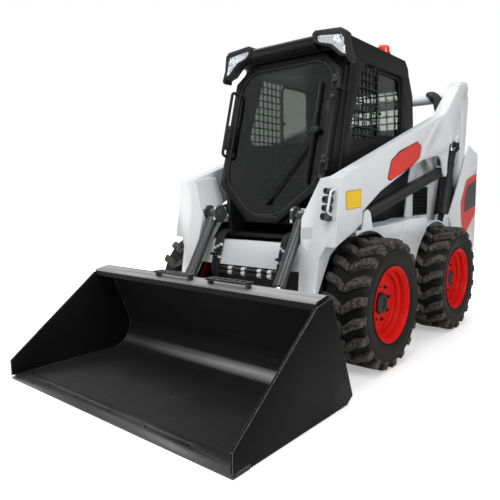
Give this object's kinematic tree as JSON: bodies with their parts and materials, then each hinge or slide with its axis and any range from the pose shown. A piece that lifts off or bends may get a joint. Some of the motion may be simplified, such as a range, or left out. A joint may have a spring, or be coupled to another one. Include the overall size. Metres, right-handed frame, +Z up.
{
  "type": "skid steer loader",
  "caption": "Compact wheeled loader with an enclosed cab, vertical-lift arms that hinge on rear links, and a wide dirt bucket that tilts on a tool coupler.",
  "frame": {"origin": "on the ground, in the middle of the machine's length and width", "axes": "+X to the operator's left, +Y to the rear, +Z up; the bucket faces -Y"},
  "size_m": [1.727, 3.378, 2.031],
  "materials": {
    "frame_paint": "satin white-grey paint",
    "chassis_grey": "satin dark grey paint",
    "black_steel": "satin black paint",
    "engine_iron": "cast, dull",
    "tailgate_paint": "satin black paint",
    "cab_paint": "satin black paint",
    "tinted_glass": "tinted, glossy",
    "seat_cover": "woven cover",
    "cab_plastic": "moulded, matt",
    "lamp_lens": "clear lens",
    "tail_lens": "deep red lens",
    "beacon_lens": "red-orange lens",
    "steel": "plated",
    "chrome_rod": "polished",
    "bucket_paint": "satin black paint",
    "tyre": "matt black rubber",
    "rim_paint": "gloss red-orange paint"
  },
  "bodies": {
    "chassis": {"chassis_tub": "chassis_grey", "fenders": "frame_paint", "uprights": "frame_paint", "side_screens": "black_steel", "side_covers": "black_steel", "tail_lamps": "tail_lens", "window_guards": "black_steel", "lamp_lenses": "lamp_lens", "axle_housings": "chassis_grey", "engine": "engine_iron", "rear_bumper": "black_steel", "cab_shell": "cab_paint", "cab_portal": "cab_paint", "cab_roof": "cab_paint", "side_windows": "tinted_glass", "rear_window": "tinted_glass", "seat": "seat_cover", "control_pods": "cab_plastic", "work_lights": "cab_paint", "beacon": "beacon_lens"},
    "hood": {"engine_hood": "black_steel"},
    "tailgate": {"tailgate": "tailgate_paint"},
    "door": {"door_frame": "cab_paint", "door_glass": "tinted_glass", "door_fittings": "cab_paint"},
    "control_links": {"control_links": "black_steel"},
    "lift_arms": {"lift_arms": "frame_paint", "aux_couplers": "steel"},
    "rear_links": {"rear_links": "frame_paint"},
    "lift_barrels": {"lift_barrels": "black_steel"},
    "lift_rods": {"lift_rods": "chrome_rod"},
    "tilt_barrels": {"tilt_barrels": "black_steel"},
    "tilt_rods": {"tilt_rods": "chrome_rod"},
    "attachment": {"tool_coupler": "black_steel", "bucket_shell": "bucket_paint", "cutting_edge": "bucket_paint", "bucket_steps": "black_steel"},
    "wheel_front_left": {"tyre_front_left": "tyre", "rim_front_left": "rim_paint"},
    "wheel_front_right": {"tyre_front_right": "tyre", "rim_front_right": "rim_paint"},
    "wheel_rear_left": {"tyre_rear_left": "tyre", "rim_rear_left": "rim_paint"},
    "wheel_rear_right": {"tyre_rear_right": "tyre", "rim_rear_right": "rim_paint"}
  },
  "joints": [
    {"name": "control_link_hinge", "type": "hinge", "parent": "chassis", "child": "control_links", "pos_m": [0, -0.29, 0.893], "axis": [1, 0, 0], "range_deg": [0, 40.54]},
    {"name": "arm_hinge", "type": "hinge", "parent": "control_links", "child": "lift_arms", "pos_m": [0, 0.924, 1.18], "axis": [-1, 0, 0], "range_deg": [0, 103.62]},
    {"name": "rear_link_hinge", "type": "hinge", "parent": "lift_arms", "child": "rear_links", "pos_m": [0, 1.325, 1.858], "axis": [1, 0, 0], "range_deg": [0, 70.14]},
    {"name": "lift_barrel_hinge", "type": "hinge", "parent": "chassis", "child": "lift_barrels", "pos_m": [0, 1.01, 0.815], "axis": [1, 0, 0], "range_deg": [0, 26.6]},
    {"name": "lift_rod_slide", "type": "slide", "parent": "lift_barrels", "child": "lift_rods", "axis": [0, 0.2515, 0.9679], "range_m": [0, 0.34943]},
    {"name": "tilt_hinge", "type": "hinge", "parent": "lift_arms", "child": "attachment", "pos_m": [0, -0.83, 0.205], "axis": [1, 0, 0], "range_deg": [-27, 104]},
    {"name": "tilt_barrel_hinge", "type": "hinge", "parent": "lift_arms", "child": "tilt_barrels", "pos_m": [0, -0.556, 0.898], "axis": [1, 0, 0], "range_deg": [-3.1, 0.81]},
    {"name": "tilt_rod_slide", "type": "slide", "parent": "tilt_barrels", "child": "tilt_rods", "axis": [0, -0.5123, -0.8588], "range_m": [-0.06445, 0.24796]},
    {"name": "door_hinge", "type": "hinge", "parent": "chassis", "child": "door", "pos_m": [0.43, -0.3603, 1.4], "axis": [0, -0.2607, -0.9654], "range_deg": [-85, 0]},
    {"name": "tailgate_hinge", "type": "hinge", "parent": "chassis", "child": "tailgate", "pos_m": [0.471, 1.68, 0.87], "axis": [0, 0, 1], "range_deg": [-90, 0]},
    {"name": "hood_hinge", "type": "hinge", "parent": "chassis", "child": "hood", "pos_m": [0, 0.802, 1.488], "axis": [1, 0, 0], "range_deg": [0, 30]},
    {"name": "wheel_spin_front_left", "type": "hinge", "parent": "chassis", "child": "wheel_front_left", "pos_m": [0.687, -0.291, 0.386], "axis": [1, 0, 0], "continuous": true},
    {"name": "wheel_spin_front_right", "type": "hinge", "parent": "chassis", "child": "wheel_front_right", "pos_m": [-0.687, -0.291, 0.386], "axis": [1, 0, 0], "continuous": true},
    {"name": "wheel_spin_rear_left", "type": "hinge", "parent": "chassis", "child": "wheel_rear_left", "pos_m": [0.687, 0.791, 0.386], "axis": [1, 0, 0], "continuous": true},
    {"name": "wheel_spin_rear_right", "type": "hinge", "parent": "chassis", "child": "wheel_rear_right", "pos_m": [-0.687, 0.791, 0.386], "axis": [1, 0, 0], "continuous": true}
  ],
  "couplings": [
    {"joint": "control_link_hinge", "follows": "arm_hinge", "ratio": 0.39111},
    {"joint": "rear_link_hinge", "follows": "arm_hinge", "ratio": 0.67681},
    {"joint": "lift_barrel_hinge", "follows": "arm_hinge", "ratio": 0.25657},
    {"joint": "lift_rod_slide", "follows": "arm_hinge", "m_per_rad": 0.19315},
    {"joint": "tilt_barrel_hinge", "follows": "tilt_hinge", "ratio": -0.02968},
    {"joint": "tilt_rod_slide", "follows": "tilt_hinge", "m_per_rad": 0.13655},
    {"joint": "wheel_spin_rear_left", "follows": "wheel_spin_front_left", "ratio": 1},
    {"joint": "wheel_spin_rear_right", "follows": "wheel_spin_front_right", "ratio": 1}
  ]
}
